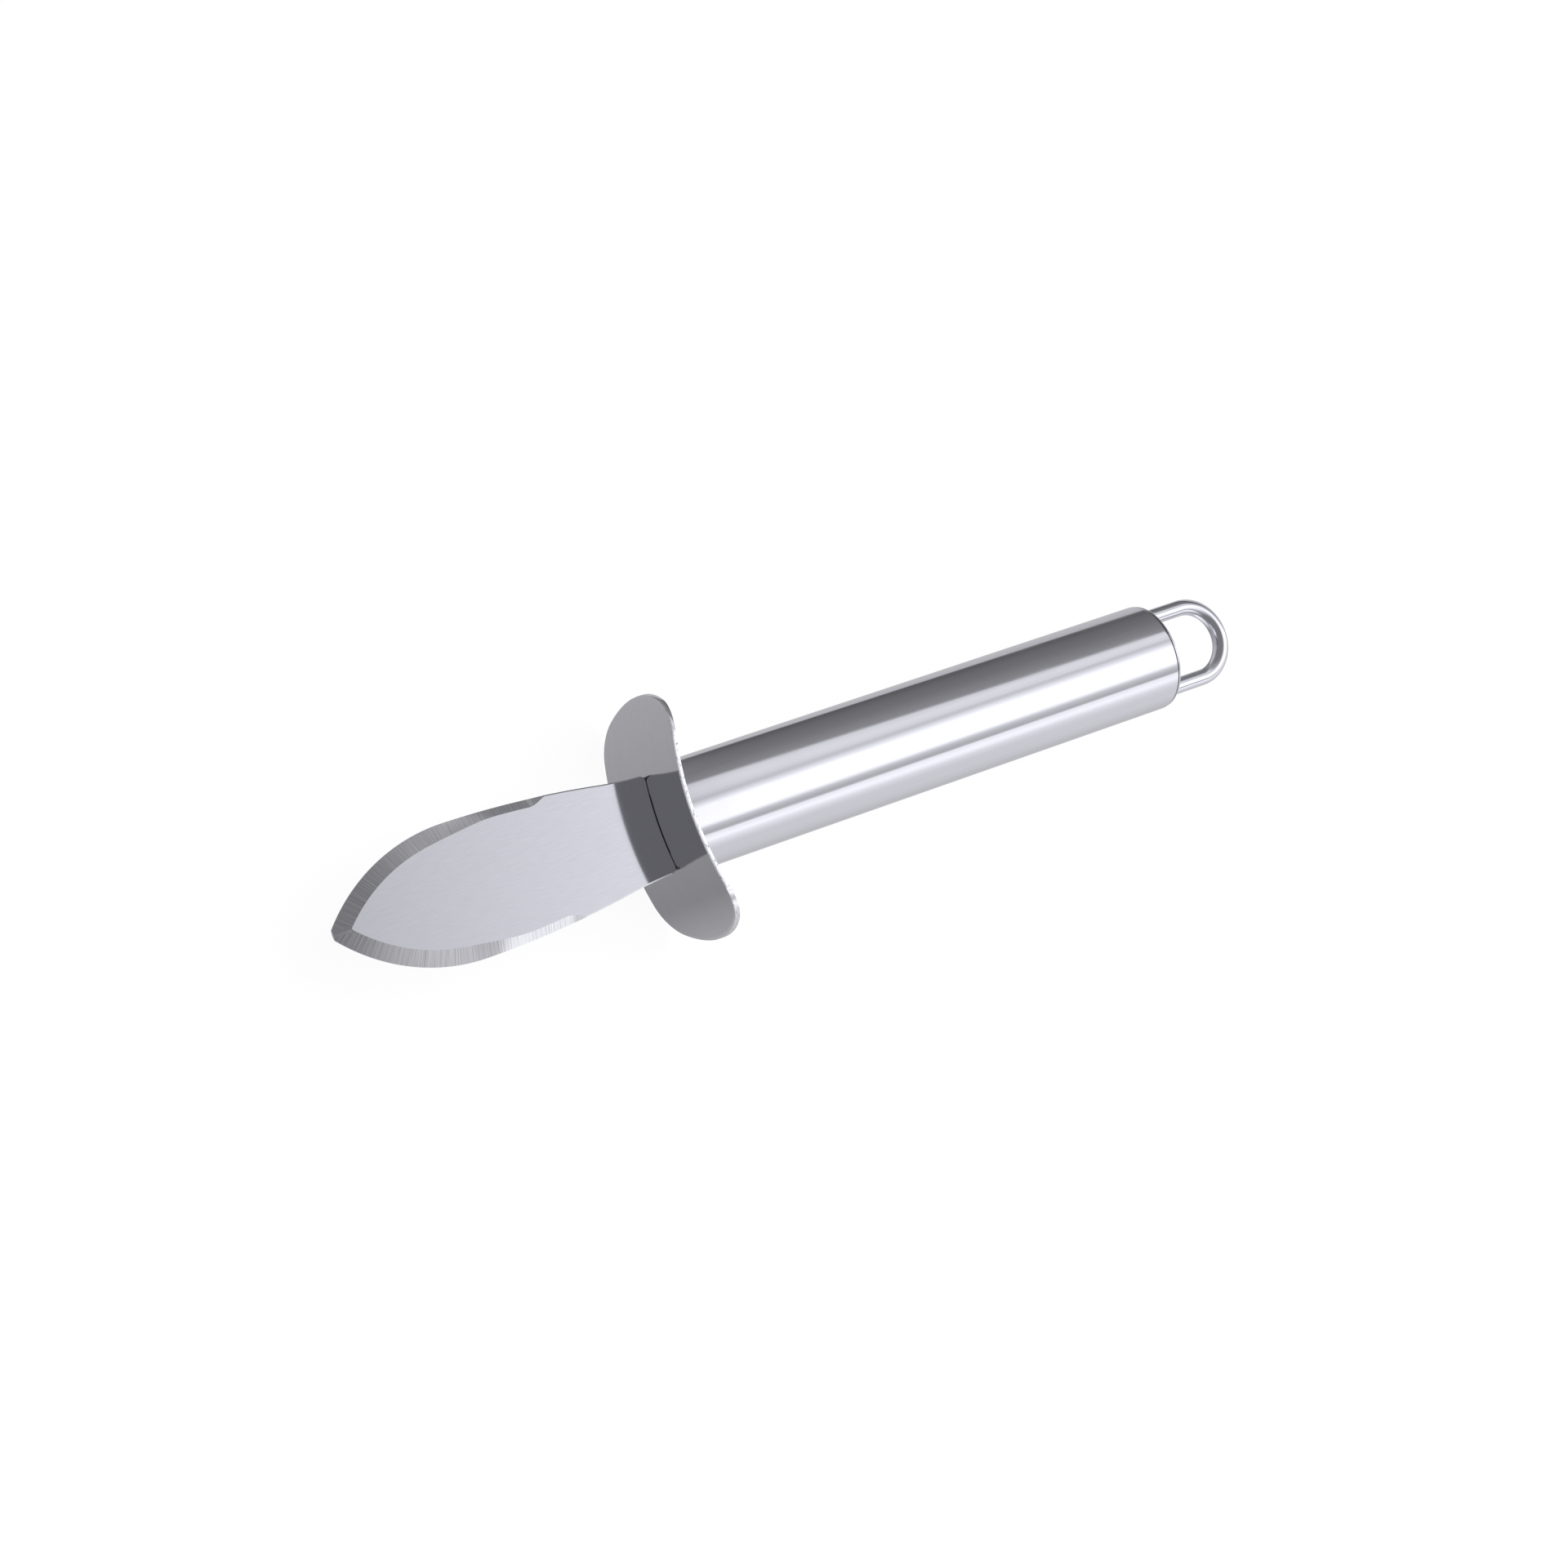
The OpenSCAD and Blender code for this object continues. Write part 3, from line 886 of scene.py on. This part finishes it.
def lined_steel(name, flow, dark, light, gloss, spacing, length, contrast, depth, wear, order="xyz",
                seam=None, seam_width=0.2 * MM, broad_share=0.35):
    """A steel with fine lines along its flow. Gloss is the roughness between and on the lines.

    The flow is an attribute of the mesh or, for None, the place in this order of axes. A seam is a function
    that gives the distance from the joint beside which a dark line, or a wider painted shade, is left."""
    steel = Steel(name)
    source = steel.attribute(flow) if flow else steel.centred(order)
    lines = steel.group(FINE_LINES, Flow=source, Line_spacing=spacing, Line_length=length,
                        Contrast=contrast, Broad_share=broad_share)
    tone = Number(steel.tree, lines.outputs["Tone"])
    marks = Number(steel.tree, steel.group(HANDLING, Position=steel.place, Amount=wear).outputs["Marks"])
    roughness = gloss[0] + tone * (gloss[1] - gloss[0]) + marks * MARK_ROUGHNESS
    shade = steel.blend(tone, dark, light)
    if seam:
        shade, line = steel.darkened(shade, seam(steel.tree, steel.place), seam_width)
        roughness = roughness + line * SEAM_ROUGHNESS
    return steel.finish(shade, roughness, lines.outputs["Height"], depth)


def from_guard_face(tree, place):
    """Distance ahead of the guard's bent front face."""
    x, y, _ = split(tree, place)
    return GUARD_X + GUARD_BEND_R - (GUARD_BEND_R**2 - y * y).root() - x


def from_neck(tree, place):
    """Distance outside the blade's section where it meets the guard."""
    _, y, z = split(tree, place)
    shoulder_in = 0.9 * MM
    past_side = y.size() - (NECK_W / 2 + NECK_FLARE - shoulder_in)
    return past_side.most((z - AXIS_Z).size() - BLADE_T / 2).most(0.0)


def from_tube_end(tree, place):
    """Distance from the joint between the tube and the rear cap."""
    x, _, _ = split(tree, place)
    return x - (tube_high.x + SEAT_GAP / 2)


def blade_flat_steel():
    """Fine satin along the blade, with hardly any broad streaks."""
    return lined_steel("blade_flat_satin", None, colour(0.60, 0.60, 0.64), colour(0.70, 0.70, 0.745),
                       gloss=(0.055, 0.095), spacing=0.17 * MM, length=3.5 * MM, contrast=1.2,
                       depth=0.0010 * MM, wear=0.35, broad_share=0.12)


def blade_bevel_steel():
    """Cross-ground steel: the lines run in from the edge."""
    steel = Steel("blade_bevel_ground")
    along, inwards, _ = split(steel.tree, steel.attribute("grind_flow"))
    flow = joined(steel.tree, inwards, along, 0.0)
    lines = steel.group(FINE_LINES, Flow=flow, Line_spacing=0.26 * MM, Line_length=14 * MM,
                        Contrast=2.5, Broad_share=0.1)
    tone = Number(steel.tree, lines.outputs["Tone"])
    shade = steel.blend(tone, colour(0.58, 0.58, 0.60), colour(0.96, 0.96, 0.99))
    # Painted shade: the bevel darkens towards the guard's face, as the shade by the joint
    shade, _ = steel.darkened(shade, from_guard_face(steel.tree, steel.place), GUARD_SHADE_WIDTH)
    roughness = 0.16 + tone * 0.07
    return steel.finish(shade, roughness, lines.outputs["Height"], depth=0.005 * MM)


def blade_edge_steel():
    """The thin land at the cutting edge, the broken edges and the rear face, with painted shade beside the
    guard.
    """
    # Painted shade: the land and the rear face darken towards the guard's face, as the shade by the joint
    return lined_steel("blade_edge_steel", None, colour(0.70, 0.70, 0.74), colour(0.80, 0.80, 0.84),
                       gloss=(0.16, 0.24), spacing=0.3 * MM, length=5 * MM, contrast=1.6,
                       depth=0.001 * MM, wear=0.2, seam=from_guard_face, seam_width=GUARD_SHADE_WIDTH)


def guard_face_steel():
    """Mirror polish across the guard."""
    return lined_steel("guard_mirror_polish", None, colour(0.70, 0.70, 0.73), colour(0.76, 0.76, 0.79),
                       gloss=(0.06, 0.10), spacing=0.5 * MM, length=10 * MM, contrast=1.4,
                       depth=0.0006 * MM, wear=0.5, order="yzx", seam=from_neck, seam_width=0.1 * MM)


def guard_edge_steel():
    """The plate's punched edge: bright, with small dark specks."""
    steel = Steel("guard_punched_edge")
    x, y, z = split(steel.tree, steel.place)
    speck_w, speck_len = 0.25 * MM, 0.75 * MM
    grain = noise(steel.tree, x / speck_w, y / speck_len, z / speck_len, 2.0, 0.6)
    specks = grain.share(0.60, 0.68)
    shade = steel.blend(specks, colour(0.84, 0.84, 0.87), colour(0.30, 0.30, 0.32))
    roughness = 0.18 + specks * 0.3
    return steel.finish(shade, roughness, grain, depth=0.004 * MM)


def handle_steel():
    """The tube's polish, with long lines."""
    return lined_steel("tube_length_polish", None, colour(0.74, 0.74, 0.78), colour(0.80, 0.80, 0.84),
                       gloss=(0.07, 0.11), spacing=0.45 * MM, length=60 * MM, contrast=1.6,
                       depth=0.0007 * MM, wear=0.5, seam=from_tube_end, seam_width=0.30 * MM)


def cap_steel():
    """The rear cap's polish, across its face."""
    return lined_steel("cap_polish", None, colour(0.72, 0.72, 0.76), colour(0.80, 0.80, 0.84),
                       gloss=(0.08, 0.13), spacing=0.4 * MM, length=6 * MM, contrast=1.6,
                       depth=0.0008 * MM, wear=0.5, order="yzx", seam=from_tube_end,
                       seam_width=0.16 * MM)


def wire_steel():
    """Drawn wire, with lines along it."""
    return lined_steel("drawn_wire_polish", "wire_flow", colour(0.72, 0.72, 0.76),
                       colour(0.80, 0.80, 0.84), gloss=(0.08, 0.14), spacing=0.25 * MM,
                       length=12 * MM, contrast=1.8, depth=0.0008 * MM, wear=0.4)


def inner_steel():
    """Turned bar stock: rings round the axis."""
    steel = Steel("turned_bar")
    x, y, z = split(steel.tree, steel.centred("xyz"))
    radius = (y * y + z * z).root()
    lines = steel.group(FINE_LINES, Flow=joined(steel.tree, 0.0, radius, x),
                        Line_spacing=0.15 * MM, Line_length=10 * MM, Contrast=2.4)
    tone = Number(steel.tree, lines.outputs["Tone"])
    shade = steel.blend(tone, colour(0.46, 0.46, 0.47), colour(0.62, 0.62, 0.63))
    roughness = 0.26 + tone * 0.12
    return steel.finish(shade, roughness, lines.outputs["Height"], depth=0.004 * MM)


def weld_metal():
    """A weld bead as it cools: ripples, scale and a straw tint."""
    steel = Steel("weld_bead")
    x, y, z = split(steel.tree, steel.centred("xyz"))
    ripple_size, scale_size, ripple_turn = 0.5 * MM, 0.9 * MM, 26.0
    ripple = ((z.angle_to(y) * ripple_turn + x / ripple_size).sine() + 1.0) * 0.5
    crust = noise(steel.tree, x / scale_size, y / scale_size, z / scale_size, 4.0, 0.6)
    shade = steel.blend(crust.share(0.35, 0.65), colour(0.34, 0.31, 0.29), colour(0.56, 0.52, 0.45))
    roughness = 0.34 + crust * 0.2
    return steel.finish(shade, roughness, ripple * 0.6 + crust * 0.4, depth=0.06 * MM)


# The set: floor, studio light and camera

WHITE = colour(1.0, 1.0, 1.0)
FLOOR_PAINT = colour(0.95, 0.95, 0.95)
# Share of the floor that the camera sees as plain light, and how bright that light is
FLOOR_GLOW = 0.88
FLOOR_LIGHT = 1.06
FLOOR_HALF = 3.0


def floor_material():
    """Pale floor. The camera sees it as white, with the knife's soft shadow kept."""
    material = bpy.data.materials.new("pale_floor")
    material.use_nodes = True
    tree = material.node_tree
    tree.nodes.clear()
    output = tree.nodes.new("ShaderNodeOutputMaterial")
    plain = node_of(tree, "ShaderNodeBsdfDiffuse", [("Color", FLOOR_PAINT)])
    glow = node_of(tree, "ShaderNodeEmission", [("Color", WHITE), ("Strength", FLOOR_LIGHT)])
    seen = Number(tree, tree.nodes.new("ShaderNodeLightPath").outputs["Is Camera Ray"])
    mixed = node_of(tree, "ShaderNodeMixShader",
                    [(0, seen * FLOOR_GLOW), (1, plain.outputs[0]), (2, glow.outputs[0])])
    tree.links.new(mixed.outputs[0], output.inputs["Surface"])
    return material


def make_floor():
    """A square of floor under the knife."""
    h = FLOOR_HALF
    mesh = mesh_of("floor", [(-h, -h, 0), (h, -h, 0), (h, h, 0), (-h, h, 0)], [(0, 1, 2, 3)])
    mesh.materials.append(floor_material())
    floor = bpy.data.objects.new("floor", mesh)
    bpy.context.scene.collection.objects.link(floor)
    # The metal shows the studio's own pale lower half instead
    floor.visible_glossy = False


# Brightness of the studio round the knife's axis, on the handle's side: (angle from the zenith
# towards +Y in degrees, brightness). Two stops at nearly one angle make a sharp edge.
STUDIO_BANDS = [
    (-180, 0.60), (-150, 0.58), (-127, 0.70), (-111, 0.77), (-86, 0.80), (-76, 0.94), (-66, 1.26),
    (-54, 1.12), (-52.5, 0.50), (-47, 0.55), (-39, 0.74), (-32, 1.38), (4, 1.38), (11, 1.00),
    (19, 0.68), (27, 0.88), (37, 0.94), (49.5, 0.86), (51, 0.31), (64, 0.28), (74, 0.24), (85, 0.21),
    (109, 0.17), (129, 0.105), (130.5, 0.58), (180, 0.60)]
# The dark panel's edges are not parallel to the knife: degrees for a unit further along +X, the
# place along X where they are at their angles, the angles over which the skew sets in, and its end
PANEL_SKEW = 160
PANEL_SKEW_FROM = 0.508
PANEL_SKEW_START = (20.0, 45.0)
PANEL_SKEW_END = 165.0
STUDIO_TINT = colour(0.965, 0.965, 1.0)

# Heights over which the studio's lower half gives way to its upper half
HORIZON = (-0.05, 0.15)
# Brightness towards the blade's side: dark above, and below plain, with more light to the +Y side
# and most of it to the -Y side
FRONT_ABOVE = 0.235
FRONT_BELOW = 0.38
FRONT_LEFT = 0.3
FRONT_RIGHT = 1.4
# Where along X the front ends and the handle's side begins, above and below. Above, the front
# ends sooner at the sides, and all of it is moved on the +Y side.
FRONT_END_ABOVE = 0.2
FRONT_END_SIDES = 0.75
FRONT_END_BELOW = -0.1
BACK_START_ABOVE = 0.5
BACK_START_BELOW = 0.1
LEFT_SHIFT = 0.45
# Share of the handle's bands before they are full, in the middle and more to the -Y side, and
# the stretch along X over which they become full
NEAR_SHARE = 0.79
NEAR_SHARE_RIGHT = 0.28
BANDS_FULL = (0.43, 0.46)


def studio_world():
    """White to the camera, and a studio of soft bands to everything else.

    A direction's brightness is worked out from its three shares along X, Y and Z."""
    world = bpy.data.worlds.new("studio")
    bpy.context.scene.world = world
    world.use_nodes = True
    tree = world.node_tree
    tree.nodes.clear()
    # In a world, Generated is the direction
    x, y, z = split(tree, tree.nodes.new("ShaderNodeTexCoord").outputs["Generated"])
    ramp = tree.nodes.new("ShaderNodeValToRGB")
    stops = ramp.color_ramp.elements
    stops.remove(stops[1])
    # A ramp holds colours up to 1, so the bands are stored at half brightness
    for k, (angle, light) in enumerate(STUDIO_BANDS):
        stop = stops[0] if k == 0 else stops.new((angle + 180) / 360)
        stop.color = (light / 2, light / 2, light / 2, 1.0)
    turn = y.angle_to(z) * (180 / math.pi)
    skewed = turn.share(*PANEL_SKEW_START) * (turn < PANEL_SKEW_END)
    turn = turn + skewed * (x - PANEL_SKEW_FROM) * PANEL_SKEW
    plug(tree, turn / 360.0 + 0.5, ramp.inputs[0])
    bands = Number(tree, ramp.outputs[0]) * 2.0

    above = z.share(*HORIZON)
    below = (FRONT_BELOW + y * FRONT_LEFT).most(y * -FRONT_RIGHT)
    front = pick(above, FRONT_ABOVE, below)
    front_end = pick(above, FRONT_END_ABOVE - y.size() * FRONT_END_SIDES, FRONT_END_BELOW)
    back_start = pick(above, BACK_START_ABOVE, BACK_START_BELOW)
    moved_x = x - above * y.most(0.0) * LEFT_SHIFT
    near_share = NEAR_SHARE + (0.0 - y).most(0.0) * NEAR_SHARE_RIGHT
    near = ease(moved_x, front_end, back_start) * near_share
    behind = near.most(x.share(*BANDS_FULL))

    studio = node_of(tree, "ShaderNodeBackground",
                     [("Color", STUDIO_TINT), ("Strength", pick(behind, bands, front))])
    white = node_of(tree, "ShaderNodeBackground", [("Color", WHITE), ("Strength", 1.0)])
    seen = tree.nodes.new("ShaderNodeLightPath").outputs["Is Camera Ray"]
    mixed = node_of(tree, "ShaderNodeMixShader",
                    [(0, seen), (1, studio.outputs[0]), (2, white.outputs[0])])
    output = tree.nodes.new("ShaderNodeOutputWorld")
    tree.links.new(mixed.outputs[0], output.inputs["Surface"])


LAMP_AT = Vector((0.35, 0.15, 1.0))
LAMP_SIDE = 0.9
LAMP_WATTS = 4.0


def make_lamp():
    """One large soft lamp over the handle's end, for the shadow on the floor."""
    data = bpy.data.lights.new("soft_lamp", "AREA")
    data.shape = "SQUARE"
    data.size = LAMP_SIDE
    data.energy = LAMP_WATTS
    lamp = bpy.data.objects.new("soft_lamp", data)
    bpy.context.scene.collection.objects.link(lamp)
    lamp.location = LAMP_AT
    lamp.rotation_euler = (-LAMP_AT).to_track_quat("-Z", "Y").to_euler()
    lamp.visible_glossy = False


# The camera of the photograph, fitted to the knife: its place, the point that it aims at on the
# knife's middle plane, the direction of its upper side, and its lens in pixels of the 1920 frame
CAMERA_AT = Vector((-313.34, -9.71, 571.49)) * MM
CAMERA_AIM = Vector((-5.86, -0.41, 14.0)) * MM
CAMERA_UP = Vector((0.2834, 0.9435, 0.1720))
LENS_PIXELS = 4400
FRAME_PIXELS = 1920
SENSOR_MM = 36
NEAREST_SEEN = 10 * MM


def make_camera():
    """The camera at the photograph's viewing angle."""
    data = bpy.data.cameras.new("camera")
    data.sensor_width = SENSOR_MM
    data.lens = SENSOR_MM * LENS_PIXELS / FRAME_PIXELS
    data.clip_start = NEAREST_SEEN
    camera = bpy.data.objects.new("camera", data)
    bpy.context.scene.collection.objects.link(camera)
    look = (CAMERA_AIM - CAMERA_AT).normalized()
    right = look.cross(CAMERA_UP).normalized()
    up = right.cross(look)
    turn = Matrix((right, up, -look)).transposed().to_4x4()
    camera.matrix_world = Matrix.Translation(CAMERA_AT) @ turn
    bpy.context.scene.camera = camera


def dress_cad_node(name, material):
    """A CAD node that stays takes its material here."""
    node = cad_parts[name]
    node.data.materials.clear()
    node.data.materials.append(material)


make_camera()
make_floor()
studio_world()
make_lamp()
bpy.context.scene.view_settings.view_transform = "Standard"

flat_steel = blade_flat_steel()
make_blade(flat_steel, blade_bevel_steel(), blade_edge_steel())
make_tang(flat_steel)
make_guard(guard_face_steel(), guard_edge_steel())
make_tube(handle_steel())
make_cap(cap_steel())
make_loop(wire_steel())
dress_cad_node("front_plug", inner_steel())
bead_metal = weld_metal()
dress_cad_node("tang_weld", bead_metal)
dress_cad_node("loop_welds", bead_metal)

bpy.context.view_layer.update()
